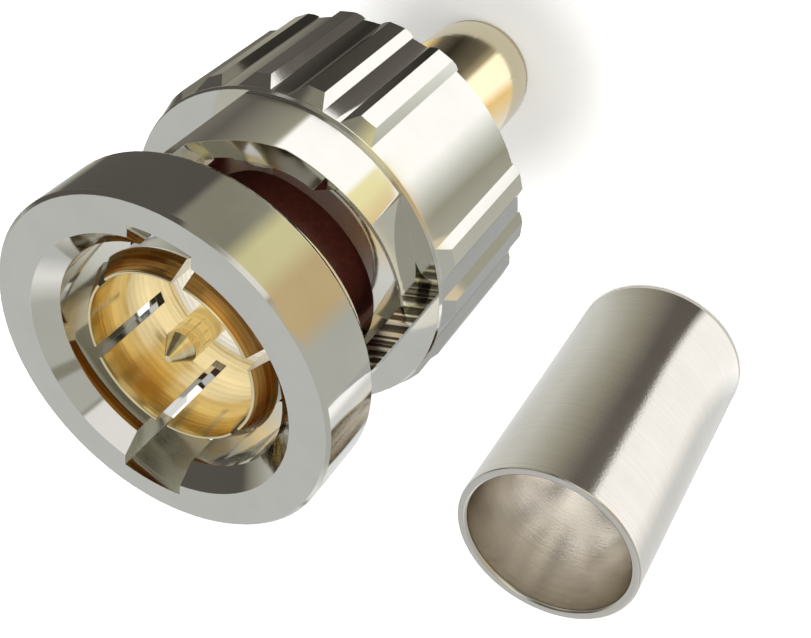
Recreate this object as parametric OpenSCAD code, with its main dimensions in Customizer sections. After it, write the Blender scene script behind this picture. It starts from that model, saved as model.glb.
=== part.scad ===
// BNC plug for a crimped coaxial cable, with its loose crimp ferrule
// Millimetres. The plug stands on the end of its crimp barrel with the mouth up, on the z axis.
// A depth is measured down from the face of the mouth, and up() turns it into a height.

/* [Coupling nut] */
// Outside diameter of the front ring
ring_d = 14.5; // [14:0.1:16]
// Length of the front ring
ring_l = 3.1; // [2.8:0.1:3.5]
// Outside diameter of the waist that holds the windows
waist_d = 14.2; // [13.8:0.1:14.4]
// Length of the waist
waist_l = 5.3; // [5:0.1:6]
// Distance across the two flats of the waist
waist_flats = 10.6; // [10.5:0.1:11.4]
// Bore that takes the shell of the jack
nut_bore_d = 9.8; // [9.75:0.01:9.95]
// Width of the lead-in cone at the mouth
mouth_lead = 0.75; // [0.4:0.05:0.9]
// Small bevel on the outer edges of the nut
edge_bevel = 0.14; // [0.05:0.01:0.25]

/* [Bayonet] */
// Width of the two keyways
key_w = 2.6; // [2.2:0.05:2.8]
// Diameter across the floors of the keyways
key_floor_d = 12.3; // [12.1:0.05:12.6]
// Angle of the first keyway about the axis
key_angle = -60; // [-66:1:-56]
// Width of the stud track
track_w = 2.75; // [2.3:0.05:2.9]
// Depth of the middle of the track where the stud enters it
track_depth = 5.4; // [5.2:0.05:5.6]
// How much deeper the track lies at its far end
track_rise = 0.6; // [0.3:0.05:0.8]
// Diameter across the floor of the track, under the waist
track_floor_d = 12.1; // [11.8:0.05:12.3]
// Angle at which the track ends, under the post beside the flat
track_end_angle = -147; // [-148:1:-143]
// Length of the window behind the front ring, at its outer edge
window_l = 3; // [2.7:0.05:3.2]
// Angle at which the window begins
window_angle = -44.8; // [-48:0.2:-44.4]
// Radius of the round shoulder of the window
window_r = 5.2; // [5:0.05:5.6]
// How far the centre of that shoulder lies beside the middle of the window
window_shift = 0.9; // [0.6:0.05:1]
// How far the slope beside the shoulder runs before it meets the ledge
window_run = 1.5; // [1.2:0.1:2]
// Angle of the oblique flat across the end of the window
oblique_angle = -128.5; // [-130:0.5:-127]
// Distance of the oblique flat from the axis
oblique_r = 6.33; // [6.2:0.01:6.5]
// How far the end wall stands beyond the middle of the oblique flat
end_wall = 1.05; // [0.9:0.05:1.1]
// Radius of the rounded corner between the oblique flat and the ledge
corner_r = 2.35; // [2.2:0.05:2.4]
// How far the centre of that corner lies in front of the ledge
corner_up = 2.3; // [2.2:0.05:2.35]
// How far the centre of that corner lies beside the middle of the oblique flat
corner_shift = 0.82; // [0.7:0.02:0.9]

/* [Grip] */
// Outside diameter between the ribs
grip_d = 14.5; // [14.4:0.1:15]
// Length of the ribbed grip
grip_l = 7.4; // [7:0.1:9]
// Height of a rib
rib_h = 0.26; // [0.2:0.02:0.4]
// Groups of ribs round the grip
rib_groups = 3; // [2:1:3]
// Ribs in each group
rib_n = 5; // [3:1:5]
// Angle from one rib to the next
rib_pitch = 18; // [16:0.5:20]
// Angle of the middle rib of the first group
rib_angle = -43.5; // [-60:0.5:-30]
// Angle that the crest of a rib takes
rib_crest_angle = 5.5; // [4.5:0.25:7]
// Angle that each flank of a rib takes
rib_flank_angle = 3.1; // [2.5:0.1:4]
// Length of the sloping front end of a rib
rib_lead = 0.9; // [0.5:0.05:1.4]

/* [Spring stack inside the nut] */
// Depth of the recess at the back of the nut
back_recess = 1.35; // [1.1:0.05:1.6]
// Length of the inner collar of the nut
collar_l = 1.35; // [1.1:0.05:1.6]
// Thickness of the thrust washer
thrust_t = 0.3; // [0.2:0.05:0.5]
// Height of the wave spring at rest
spring_h = 1.1; // [0.95:0.05:1.4]
// Thickness of the spring strip
spring_t = 0.22; // [0.15:0.01:0.28]
// Waves in the spring
spring_waves = 3; // [3:1:5]
// Thickness of the retaining ring
retainer_t = 0.5; // [0.35:0.05:0.65]
// Outside diameter of the retaining ring
retainer_d = 8.9; // [8.6:0.05:9.2]
// Gap in the retaining ring
retainer_gap = 1.4; // [0.8:0.1:2]

/* [Body and crimp barrel] */
// Diameter of the neck that carries the nut
neck_d = 7.4; // [7.3:0.05:7.6]
// Thickness of the body flange
flange_t = 1.2; // [0.9:0.05:1.5]
// Wall of the body under the groove for the retaining ring
groove_wall = 0.45; // [0.35:0.05:0.5]
// Bore of the body behind the outer contact
body_bore_d = 5.8; // [5.5:0.05:5.95]
// Diameter of the crimp barrel where it leaves the body
barrel_d = 6.2; // [5.8:0.05:6.6]
// Diameter of the crimp barrel where its nose begins
barrel_tip_d = 5.8; // [5.5:0.05:5.8]
// Length of the crimp barrel behind the nut, without its nose
barrel_l = 10.1; // [8:0.1:13]
// Length of the rounded nose
nose_l = 1.6; // [1:0.1:2]
// Diameter of the flat end of the nose
nose_d = 4.8; // [4.7:0.05:5.3]
// Bore of the crimp barrel
barrel_bore_d = 4.4; // [4:0.05:4.5]

/* [Outer contact] */
// How far the contact fingers lie behind the mouth
contact_recess = 0.8; // [0.6:0.05:1.2]
// Height of the lip above the fingers
contact_lip_h = 0.15; // [0.08:0.01:0.2]
// Diameter of the fingers behind the lip
contact_d = 8; // [7.9:0.02:8.1]
// Length of the lip
contact_lip_l = 0.9; // [0.6:0.05:1.3]
// Width of the flat rim at the end of a finger
rim_w = 0.12; // [0.06:0.02:0.2]
// Small bevel inside the rim of a finger
rim_bevel = 0.06; // [0.02:0.01:0.1]
// Length of the slope between the rim and the lip
rim_slope = 0.5; // [0.2:0.05:0.6]
// Bore between the fingers
contact_bore_d = 7.1; // [6.9:0.02:7.2]
// Diameter of the root that carries the gasket
contact_root_d = 7.6; // [7.5:0.02:7.7]
// Diameter of the stem that is pressed into the body
contact_stem_d = 6.8; // [6.6:0.02:6.9]
// Length of the stem
contact_stem_l = 1.6; // [1.3:0.05:1.9]
// Slots between the fingers
slot_n = 6; // [4:1:8]
// Width of a slot
slot_w = 0.5; // [0.35:0.05:0.7]
// Length of a slot
slot_l = 4; // [3.4:0.1:4.6]
// Angle of the first slot about the axis
slot_angle = 56.5; // [45:0.5:60]

/* [Gasket] */
// Thickness of the sealing flange
gasket_t = 1; // [0.7:0.05:1.2]
// Wall of the thin sleeve around the root of the contact
sleeve_wall = 0.2; // [0.15:0.01:0.25]
// Length of the thin sleeve
sleeve_l = 4.3; // [3:0.1:4.6]

/* [Centre pin and insulators] */
// Diameter of the centre pin
pin_d = 1.35; // [1.32:0.01:1.38]
// How far the tip of the pin lies behind the mouth
pin_recess = 0.75; // [0.5:0.05:1.3]
// Length of the pointed tip
pin_tip_l = 0.8; // [0.5:0.05:1.1]
// Diameter of the blunt end of the tip
pin_tip_d = 0.3; // [0.2:0.05:0.5]
// Diameter of the pin inside the head of the front insulator
pin_root_d = 1.8; // [1.7:0.05:2]
// Diameter of the crimp end of the pin
pin_crimp_d = 2.2; // [1.9:0.05:2.5]
// Bore of the crimp end, for the inner conductor
pin_bore_d = 1.1; // [0.8:0.05:1.3]
// Depth of the crimp bore
pin_bore_l = 4.5; // [3.5:0.25:5]
// Diameter of the sight hole in the crimp end
sight_d = 0.6; // [0.4:0.05:0.8]
// Depth of the face of the front insulator behind the mouth
insulator_depth = 5.6; // [5.5:0.05:5.9]
// Length of the wide head of the front insulator
insulator_head_l = 2.8; // [2.4:0.1:3.2]
// Length of the rear insulator
rear_insulator_l = 1.9; // [1.5:0.05:2]

/* [Crimp ferrule] */
// Outside diameter of the ferrule
ferrule_d = 9.2; // [8.8:0.1:9.8]
// Wall of the ferrule
ferrule_wall = 0.5; // [0.35:0.05:0.7]
// Length of the ferrule
ferrule_l = 15.8; // [12:0.2:18]
// Outer bevel at both ends of the ferrule
ferrule_edge = 0.1; // [0.05:0.01:0.15]
// Inner bevel at both ends of the ferrule
ferrule_bevel = 0.22; // [0.1:0.01:0.3]
// Distance from the plug's axis to the ferrule's axis
ferrule_stand = 18.6; // [14:0.1:24]
// Direction in which the ferrule stands beside the plug
ferrule_angle = 167.5; // [160:0.5:190]

/* [Clearances] */
// Radial clearance of the nut on the neck of the body
run_gap = 0.06; // [0.03:0.01:0.1]
// Radial clearance of the flange and washers in the bore of the nut
bore_gap = 0.15; // [0.1:0.01:0.2]
// Play between the collar of the nut and the retaining ring
end_gap = 0.05; // [0.02:0.01:0.1]
// Radial play of the retaining ring in its groove
groove_gap = 0.03; // [0.02:0.01:0.05]
// Radial play of the crimp end of the pin in the rear insulator
pin_gap = 0.03; // [0.02:0.01:0.05]

/* [Hidden] */
$fn = 100;

// Depth at which each stage of the nut ends
ledge_depth = ring_l + waist_l;
nut_l = ledge_depth + grip_l;
plug_l = nut_l + barrel_l + nose_l;

// Depths of the spring stack, worked forward from the back of the nut
collar_back = nut_l - back_recess;
collar_front = collar_back - collar_l;
thrust_front = collar_front - thrust_t;
flange_back = thrust_front - spring_h;
flange_front = flange_back - flange_t;
gasket_front = flange_front - gasket_t;
sleeve_front = gasket_front - sleeve_l;
retainer_front = collar_back + end_gap;
retainer_back = retainer_front + retainer_t;

// Depths inside the body
stem_back = flange_front + contact_stem_l;
rear_insulator_back = stem_back + rear_insulator_l;
pin_back = rear_insulator_back;
insulator_step = insulator_depth + insulator_head_l;

// Fits that follow from the diameters above
flange_d = nut_bore_d - 2 * bore_gap;
contact_lip_d = contact_d + 2 * contact_lip_h;
collar_bore_d = neck_d + 2 * run_gap;
washer_bore_d = neck_d + 2 * run_gap;
groove_d = body_bore_d + 2 * groove_wall;
retainer_bore_d = groove_d + 2 * groove_gap;
crest_d = grip_d + 2 * rib_h;

// A cut reaches this far past the face that it opens
past = 1;
// Middle of the stud track, and the slope that takes it deeper
track_mid_angle = (key_angle + track_end_angle) / 2;
track_mid_depth = track_depth + track_rise / 2;
track_slope = atan(track_rise / (track_floor_d * sin((key_angle - track_end_angle) / 2)));
// Angle by which the sloping run stops short of the middle of its round start
track_seam = 1;
// Points along a rounded edge
round_steps = 8;

// Height of a plane that lies a given depth behind the mouth
function up(depth) = plug_l - depth;

// Point of a turned outline, from a diameter and a depth
function at(d, depth) = [d / 2, up(depth)];

// Solid of revolution from an outline of [radius, height] points
module turned(outline) {
    rotate_extrude()
        polygon(outline);
}

// Wedge between two angles, reaching out to a radius, over a span of depths
module wedge(from_angle, to_angle, reach, from_depth, to_depth) {
    mid = (from_angle + to_angle) / 2;
    far = reach / cos((to_angle - from_angle) / 2);
    translate([0, 0, up(to_depth)])
        linear_extrude(to_depth - from_depth)
            polygon([[0, 0],
                     [far * cos(from_angle), far * sin(from_angle)],
                     [2 * reach * cos(mid), 2 * reach * sin(mid)],
                     [far * cos(to_angle), far * sin(to_angle)]]);
}

// Outer form of the nut: front ring, waist, ledge and grip
module nut_blank() {
    turned([[0, up(0)],
            at(ring_d - 2 * edge_bevel, 0),
            at(ring_d, edge_bevel),
            at(ring_d, ring_l - edge_bevel),
            at(waist_d, ring_l + edge_bevel),
            at(waist_d, ledge_depth),
            at(grip_d - edge_bevel, ledge_depth),
            at(grip_d, ledge_depth + edge_bevel),
            at(grip_d, nut_l - edge_bevel),
            at(grip_d - 2 * edge_bevel, nut_l),
            [0, up(nut_l)]]);
}

// One grip rib at angle 0: a crest between two sloping flanks
module rib_bar() {
    crest = rib_crest_angle / 2;
    foot = crest + rib_flank_angle;
    foot_r = grip_d / 2;
    crest_r = crest_d / 2;
    root_r = foot_r - rib_h;
    translate([0, 0, up(nut_l)])
        linear_extrude(grip_l)
            polygon([[root_r * cos(foot), -root_r * sin(foot)],
                     [foot_r * cos(foot), -foot_r * sin(foot)],
                     [crest_r * cos(crest), -crest_r * sin(crest)],
                     [crest_r * cos(crest), crest_r * sin(crest)],
                     [foot_r * cos(foot), foot_r * sin(foot)],
                     [root_r * cos(foot), root_r * sin(foot)]]);
}

// Groups of ribs with plain panels between them
module grip_ribs() {
    intersection() {
        for (group = [0 : rib_groups - 1])
            for (i = [0 : rib_n - 1])
                rotate(rib_angle + group * 360 / rib_groups + (i - (rib_n - 1) / 2) * rib_pitch)
                    rib_bar();
        turned([[0, up(ledge_depth)],
                at(grip_d - edge_bevel, ledge_depth),
                at(crest_d, ledge_depth + rib_lead),
                at(crest_d, nut_l - edge_bevel),
                at(crest_d - 2 * edge_bevel, nut_l),
                [0, up(nut_l)]]);
    }
}

// Everything that is turned away inside the nut
module nut_bore() {
    turned([[0, up(-past)],
            at(nut_bore_d + 2 * mouth_lead, -past),
            at(nut_bore_d + 2 * mouth_lead, 0),
            at(nut_bore_d, mouth_lead),
            at(nut_bore_d, collar_front),
            at(collar_bore_d, collar_front),
            at(collar_bore_d, collar_back),
            at(nut_bore_d, collar_back),
            at(nut_bore_d, nut_l + past),
            [0, up(nut_l + past)]]);
}

// Flats on both sides of the waist
module waist_cut() {
    for (side = [0, 180])
        rotate(side)
            translate([waist_flats / 2, -ring_d, up(ledge_depth)])
                cube([ring_d, 2 * ring_d, waist_l]);
}

// Straight keyway from the mouth to the start of the stud track
module keyway() {
    intersection() {
        translate([0, 0, up(track_depth)])
            cylinder(d = key_floor_d, h = track_depth + past);
        rotate(key_angle)
            translate([0, -key_w / 2, up(track_depth)])
                cube([ring_d, key_w, track_depth + past]);
    }
}

// Leans a cut about the middle of the track, so that it lies deeper towards its end
module leaned() {
    translate([0, 0, up(track_mid_depth)])
        rotate(track_mid_angle)
            rotate([track_slope, 0, 0])
                children();
}

// Solid inside the floor of the track, over the length of the waist
module track_core() {
    translate([0, 0, up(ledge_depth)])
        cylinder(d = track_floor_d, h = waist_l);
}

// Inner track for the stud: a round start under the keyway, then a sloping run to its end
module stud_track() {
    intersection() {
        track_core();
        union() {
            rotate(key_angle)
                translate([0, 0, up(track_depth)])
                    rotate([0, 90, 0])
                        cylinder(d = track_w, h = ring_d);
            intersection() {
                wedge(track_end_angle, key_angle - track_seam, ring_d, ring_l, ledge_depth);
                leaned()
                    translate([0, 0, -track_w / 2])
                        cylinder(d = 2 * ring_d, h = track_w);
            }
        }
    }
}

// Outline of the window as seen from the side: a round shoulder that opens into a slope
module window_outline() {
    window_back = ring_l + window_l;
    intersection() {
        translate([window_shift, up(window_back - window_r)])
            circle(r = window_r);
        translate([window_shift, up(window_back)])
            square([ring_d, window_l]);
    }
    polygon([[window_shift, up(ring_l)],
             [window_shift, up(window_back)],
             [window_shift - window_run, up(ledge_depth)],
             [-ring_d, up(ledge_depth)],
             [-ring_d, up(ring_l)]]);
}

// Part of the waist that lies before the end wall
module before_end_wall() {
    rotate(oblique_angle)
        translate([0, -end_wall, up(ledge_depth)])
            cube([ring_d, ring_d, waist_l]);
}

// Outer window with a bevelled rear wall, cut down to the level of the track's floor
module window() {
    edge = track_mid_depth - ring_l - window_l;
    reach = ring_d - waist_d / 2;
    difference() {
        intersection() {
            leaned()
                rotate_extrude()
                    polygon([[0, waist_l],
                             [ring_d, waist_l],
                             [ring_d, edge + reach],
                             [0, edge - waist_d / 2]]);
            rotate([90, 0, 0])
                linear_extrude(ring_d)
                    window_outline();
            wedge(track_end_angle, window_angle, ring_d, ring_l, ledge_depth);
            before_end_wall();
        }
        track_core();
    }
}

// Oblique flat that crosses the end of the window, up to the end wall
module oblique_flat() {
    rotate(oblique_angle)
        translate([oblique_r, -end_wall, up(ledge_depth)])
            cube([ring_d, ring_d / 2, waist_l - window_l / 2]);
}

// Corner pocket between the oblique flat, the end wall and the ledge
module corner_pocket() {
    side = sqrt(corner_r * corner_r - corner_up * corner_up);
    rotate(oblique_angle)
        rotate([90, 0, 90])
            translate([0, 0, track_floor_d / 2])
                linear_extrude(ring_d)
                    difference() {
                        translate([-end_wall, up(ledge_depth)])
                            square([end_wall + corner_shift - side, corner_up]);
                        translate([corner_shift, up(ledge_depth - corner_up)])
                            circle(r = corner_r);
                    }
}

// Bayonet coupling nut, one piece
module coupling_nut() {
    color("silver")
        difference() {
            union() {
                nut_blank();
                grip_ribs();
            }
            nut_bore();
            waist_cut();
            for (side = [0, 180])
                rotate(side) {
                    keyway();
                    stud_track();
                    window();
                    oblique_flat();
                    corner_pocket();
                }
        }
}

// Body with its flange, neck, ring groove and crimp barrel
module plug_body() {
    shoulder = retainer_back + (nut_l - retainer_back) / 2;
    nose_top = nut_l + barrel_l;
    drop = (barrel_tip_d - nose_d) / 2;
    nose = [for (i = [1 : round_steps])
        let (a = 90 * i / round_steps)
            [nose_d / 2 + drop * cos(a), up(nose_top + nose_l * sin(a))]];
    color("goldenrod")
        turned(concat(
            [at(contact_stem_d, flange_front),
             at(flange_d, flange_front),
             at(flange_d, flange_back),
             at(neck_d, flange_back),
             at(neck_d, retainer_front),
             at(groove_d, retainer_front),
             at(groove_d, retainer_back),
             at(neck_d, retainer_back),
             at(neck_d, shoulder),
             at(barrel_d, nut_l),
             at(barrel_tip_d, nose_top)],
            nose,
            [at(barrel_bore_d, plug_l),
             at(barrel_bore_d, rear_insulator_back),
             at(body_bore_d, rear_insulator_back),
             at(body_bore_d, stem_back),
             at(contact_stem_d, stem_back)]));
}

// Slots that part the fingers of the outer contact
module finger_slots() {
    for (i = [0 : slot_n - 1])
        rotate(slot_angle + i * 360 / slot_n)
            translate([0, -slot_w / 2, up(contact_recess + slot_l)])
                cube([contact_lip_d, slot_w, slot_l + past]);
}

// Springy outer contact with a lip, slotted fingers, gasket seat and press stem
module outer_contact() {
    lip_back = contact_recess + contact_lip_l;
    color("gold")
        difference() {
            turned([at(contact_bore_d + 2 * rim_bevel, contact_recess),
                    at(contact_bore_d + 2 * (rim_bevel + rim_w), contact_recess),
                    at(contact_lip_d, contact_recess + rim_slope),
                    at(contact_lip_d, lip_back),
                    at(contact_d, lip_back + 2 * contact_lip_h),
                    at(contact_d, sleeve_front),
                    at(contact_root_d, sleeve_front),
                    at(contact_root_d, flange_front),
                    at(contact_stem_d, flange_front),
                    at(contact_stem_d, stem_back),
                    at(body_bore_d, stem_back),
                    at(body_bore_d, insulator_step),
                    at(contact_bore_d, insulator_step),
                    at(contact_bore_d, contact_recess + rim_bevel)]);
            finger_slots();
        }
}

// Centre pin with a pointed tip and a bored crimp end
module centre_pin() {
    bore_top = pin_back - pin_bore_l;
    sight_depth = pin_back - rear_insulator_l / 2;
    color("gold")
        difference() {
            turned([[0, up(pin_recess)],
                    at(pin_tip_d, pin_recess),
                    at(pin_d, pin_recess + pin_tip_l),
                    at(pin_d, insulator_depth),
                    at(pin_root_d, insulator_depth),
                    at(pin_root_d, insulator_step),
                    at(pin_crimp_d, insulator_step),
                    at(pin_crimp_d, pin_back),
                    at(pin_bore_d, pin_back),
                    at(pin_bore_d, bore_top),
                    [0, up(bore_top)]]);
            translate([0, 0, up(sight_depth)])
                rotate([0, 90, 0])
                    cylinder(d = sight_d, h = pin_crimp_d);
        }
}

// Front insulator: a wide head between the fingers and a stem in the root of the contact
module front_insulator() {
    color("white")
        turned([at(pin_root_d, insulator_depth),
                at(contact_bore_d, insulator_depth),
                at(contact_bore_d, insulator_step),
                at(body_bore_d, insulator_step),
                at(body_bore_d, stem_back),
                at(pin_crimp_d, stem_back),
                at(pin_crimp_d, insulator_step),
                at(pin_root_d, insulator_step)]);
}

// Rear insulator, a plain bush in the body
module rear_insulator() {
    color("white")
        turned([at(pin_crimp_d + 2 * pin_gap, stem_back),
                at(body_bore_d, stem_back),
                at(body_bore_d, rear_insulator_back),
                at(pin_crimp_d + 2 * pin_gap, rear_insulator_back)]);
}

// Gasket: a sealing flange on the body and a thin sleeve round the root of the contact
module gasket() {
    color([0.30, 0.08, 0.06])
        turned([at(contact_root_d, sleeve_front),
                at(contact_root_d + 2 * sleeve_wall, sleeve_front),
                at(contact_root_d + 2 * sleeve_wall, gasket_front),
                at(flange_d, gasket_front),
                at(flange_d, flange_front),
                at(contact_root_d, flange_front)]);
}

// Height of the spring's lower face above its seat, at an angle
function wave(a) = (spring_h - spring_t) * (1 + cos(spring_waves * a)) / 2;

// Wave spring between the flange and the thrust washer
module wave_spring() {
    steps = 24 * spring_waves;
    inner_r = washer_bore_d / 2;
    outer_r = flange_d / 2;
    seat = up(thrust_front);
    ring = [for (i = [0 : steps - 1])
        let (a = 360 * i / steps, z = seat + wave(a))
            each [[inner_r * cos(a), inner_r * sin(a), z],
                  [outer_r * cos(a), outer_r * sin(a), z],
                  [outer_r * cos(a), outer_r * sin(a), z + spring_t],
                  [inner_r * cos(a), inner_r * sin(a), z + spring_t]]];
    walls = [for (i = [0 : steps - 1])
        let (n = 4 * i, m = 4 * ((i + 1) % steps))
            each [for (k = [0 : 3])
                let (j = (k + 1) % 4)
                    each [[n + k, m + j, m + k], [n + k, n + j, m + j]]]];
    color("lightgray")
        polyhedron(points = ring, faces = walls);
}

// Flat washer that the spring presses on the collar of the nut
module thrust_washer() {
    color("khaki")
        turned([at(washer_bore_d, thrust_front),
                at(flange_d, thrust_front),
                at(flange_d, collar_front),
                at(washer_bore_d, collar_front)]);
}

// Split ring in the groove of the body, behind the collar of the nut
module retaining_ring() {
    color("gray")
        difference() {
            turned([at(retainer_bore_d, retainer_front),
                    at(retainer_d, retainer_front),
                    at(retainer_d, retainer_back),
                    at(retainer_bore_d, retainer_back)]);
            translate([0, -retainer_gap / 2, up(retainer_back + past)])
                cube([retainer_d, retainer_gap, retainer_t + 2 * past]);
        }
}

// Crimp ferrule, standing on its end beside the plug
module crimp_ferrule() {
    outer_r = ferrule_d / 2;
    inner_r = outer_r - ferrule_wall;
    color("darkgray")
        rotate(ferrule_angle)
            translate([ferrule_stand, 0, 0])
                rotate_extrude()
                    polygon([[inner_r + ferrule_bevel, 0],
                             [outer_r - ferrule_edge, 0],
                             [outer_r, ferrule_edge],
                             [outer_r, ferrule_l - ferrule_edge],
                             [outer_r - ferrule_edge, ferrule_l],
                             [inner_r + ferrule_bevel, ferrule_l],
                             [inner_r, ferrule_l - ferrule_bevel],
                             [inner_r, ferrule_bevel]]);
}

coupling_nut();
plug_body();
outer_contact();
centre_pin();
front_insulator();
rear_insulator();
gasket();
wave_spring();
thrust_washer();
retaining_ring();
crimp_ferrule();
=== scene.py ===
"""Dresses the bayonet coaxial plug and its loose crimp ferrule, on a plain studio floor.

Lengths are metres in the CAD frame: the plug stands on its crimp barrel on the z axis, with the mouth up.
"""

import math

import bmesh
import bpy
import numpy as np
from mathutils import Matrix, Vector


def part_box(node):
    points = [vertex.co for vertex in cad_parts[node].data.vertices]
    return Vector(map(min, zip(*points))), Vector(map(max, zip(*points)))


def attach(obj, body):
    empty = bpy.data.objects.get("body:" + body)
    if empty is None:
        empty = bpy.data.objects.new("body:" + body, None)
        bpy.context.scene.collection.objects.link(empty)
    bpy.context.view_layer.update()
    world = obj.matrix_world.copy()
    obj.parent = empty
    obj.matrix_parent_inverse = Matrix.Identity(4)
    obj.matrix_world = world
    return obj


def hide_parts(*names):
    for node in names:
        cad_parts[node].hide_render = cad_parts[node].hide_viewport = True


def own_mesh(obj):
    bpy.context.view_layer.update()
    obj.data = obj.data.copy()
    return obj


bl_info = {
    "name": "Bayonet coaxial plug",
    "version": (1, 0, 0),
    "blender": (4, 5, 0),
    "location": "3D View > Sidebar > Plug",
    "description": "Dresses a bayonet coaxial plug with its crimp ferrule and lights it",
    "category": "Object",
}

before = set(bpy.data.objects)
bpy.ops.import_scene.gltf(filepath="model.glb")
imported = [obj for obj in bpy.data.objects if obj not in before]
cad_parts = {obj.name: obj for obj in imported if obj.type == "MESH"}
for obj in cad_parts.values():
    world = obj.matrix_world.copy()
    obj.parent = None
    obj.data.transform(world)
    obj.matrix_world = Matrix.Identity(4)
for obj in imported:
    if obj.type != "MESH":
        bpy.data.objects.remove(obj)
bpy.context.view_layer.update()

MM = 0.001
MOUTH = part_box("coupling_nut")[1].z
FERRULE_LOW, FERRULE_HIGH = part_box("crimp_ferrule")
FERRULE_AXIS = ((FERRULE_LOW + FERRULE_HIGH) / 2).to_2d()
FERRULE_DIAMETER = FERRULE_HIGH.x - FERRULE_LOW.x
FERRULE_LENGTH = FERRULE_HIGH.z - FERRULE_LOW.z

# Corners closer together than this become one corner
WELD = 2e-7
# Radius of the broken edges on the metal pieces
EDGE_ROUND = 0.03 * MM
# Edges between faces that turn by more degrees than this stay sharp, on turned pieces and on the fine ridges
SHARP = 35
RIDGE_SHARP = 60

# Depths behind the mouth, in millimetres, which repeat those of the solids: first the contact's fingers
FINGER_TOP = 0.8
LIP_CREST = 1.68
LIP_HEEL = 1.72
LIP_FOOT = 2.0
# Then the seal on the contact's neck, the front insulator's face, and the steps of the contact's root
SEAL_FRONT = 5.2
SEAL_FLANGE = 9.5
SEAL_BACK = 10.5
INSULATOR_FACE = 5.6
CONTACT_STEP = 8.4
CONTACT_BACK = 12.1
# Radii of the contact's neck, which the seal fits round, and of the stem behind it with its bore
NECK_RADIUS = 3.8 * MM
STEM_RADIUS = 3.4 * MM
STEM_BORE_RADIUS = 2.9 * MM
# Faces this far outside the bore of the fingers are their lips, in gold darkened as painted shade down to the
# first depth, or their outside, in nickel down to the second
FINISH_START = 0.13 * MM
SHADED_LIP_END = 1.65
NICKEL_END = 5.1
# Direction of the milled end walls of the windows, in degrees, and how far they stand from the axis
MILLED_WALL_ANGLE = -128.5
MILLED_WALL_REACH = 1.05
MILLED_WALL_SLACK = 0.02
MILLED_WALL_FACING = 0.99

# Directions of the photograph's right and down edges, and where its camera stands
CAMERA_RIGHT = Vector((-0.6764, -0.5678, -0.4691))
CAMERA_DOWN = Vector((-0.7290, 0.4250, 0.5367))
CAMERA_PLACE = Vector((-0.00003, -0.03729, 0.05353))
CAMERA_LENS = 55.1
CAMERA_SENSOR = 36

# Sizes of the fine patterns: clouds in a plated finish, and the milling cutter's marks with their depth. The
# marks are drawn deeper than real ones, so that they show
CLOUD_SIZE = 2.5 * MM
CUTTER_MARK_SIZE = 0.42 * MM
CUTTER_MARK_DEPTH = 0.14 * MM
# Tool rings on the insulators, and the speckle and flow marks of the seal
PTFE_RING_SIZE = 0.16 * MM
PTFE_RING_DEPTH = 0.01 * MM
SPECKLE_SIZE = 0.12 * MM
SPECKLE_DEPTH = 0.012 * MM
FLOW_MARK_SIZE = 1.1 * MM
# How much deeper the grain of a drawn finish is than its rings
GRAIN_WEIGHT = 2.4
# Where in the cutter's noise the milled walls turn from dark painted shade to white painted glints
PAINTED_GLINT_TONES = ((0.51, "#5a564e"), (0.55, "#ffffff"))

# A face of a solid counts as turned where its normals hardly lean round the axis but do lean out from it, and
# its corners fit one cylinder or cone. One that leans less than the plumb value is a cylinder
MOST_ROUND = 0.09
LEAST_OUT = 0.05
MOST_MISFIT = 0.004 * MM
PLUMB = 0.02
# A face is flat where its corners' normals agree this well with it
FLAT = 0.9998

# Tones of the studio's cards, as card colours
WHITE, PALE, GREY, MIDDLE = "#ffffff", "#d0d2d3", "#c2c4be", "#949284"
OLIVE, WARM, DARK, BLACK = "#e7e0ae", "#d8c093", "#5e5a56", "#2c2a27"
# Which tone stands in which direction, in degrees about the plug: all round it, and high over it
ROOM_TONES = (
    (-180, GREY), (-140, GREY), (-126, WARM), (-104, WARM), (-92, OLIVE), (-78, OLIVE), (-68, MIDDLE),
    (-40, MIDDLE), (-36, DARK), (40, DARK), (46, MIDDLE), (60, GREY), (75, PALE), (125, PALE), (140, WHITE),
    (158, GREY), (180, GREY),
)
HIGH_TONES = (
    (-180, GREY), (-156, GREY), (-153, MIDDLE), (-145, MIDDLE), (-142, GREY), (-110, GREY), (-106, MIDDLE),
    (-103, WHITE), (-46, WHITE), (-43, DARK), (32, DARK), (36, GREY), (60, PALE), (120, PALE), (180, GREY),
)
# The same on the floor, where the plug's waist, its grip and its barrel see it
WAIST_TONES = (
    (-180, GREY), (-112, WARM), (-98, OLIVE), (-92, OLIVE), (-89, WHITE), (-45, WHITE), (-42, MIDDLE),
    (-10, DARK), (40, MIDDLE), (60, GREY), (110, WHITE), (150, GREY), (180, GREY),
)
GRIP_TONES = (
    (-180, GREY), (-132, MIDDLE), (-121, GREY), (-107, WHITE), (-64, WHITE), (-61, DARK), (-28, BLACK),
    (0, DARK), (20, MIDDLE), (40, DARK), (60, GREY), (110, WHITE), (150, GREY), (180, GREY),
)
BARREL_TONES = (
    (-180, PALE), (-140, WARM), (-124, WHITE), (-92, WHITE), (-86, MIDDLE), (-74, DARK), (-40, BLACK),
    (-16, DARK), (6, WARM), (40, PALE), (180, PALE),
)
# In the gap between the contact and the nut: a card that glows inside the plug and paints reflections there
GAP_TONES = (
    (-180, GREY), (-150, PALE), (-120, WARM), (-90, GREY), (-50, MIDDLE), (-10, GREY), (20, PALE), (60, GREY),
    (90, MIDDLE), (120, WARM), (150, GREY), (180, GREY),
)
# Round the ferrule, in degrees about its own axis, and under its bore
FERRULE_TONES = (
    (-180, PALE), (-150, PALE), (-128, WHITE), (-81, WHITE), (-75, DARK), (-60, DARK), (-36, MIDDLE),
    (0, GREY), (50, PALE), (180, PALE),
)
BORE_TONES = (
    (-180, PALE), (-130, WHITE), (-100, DARK), (-70, WHITE), (-30, PALE), (0, DARK), (40, WHITE),
    (80, MIDDLE), (120, WHITE), (150, DARK), (180, PALE),
)
PLAIN_TONES = ((-180, PALE), (180, PALE))

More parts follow.
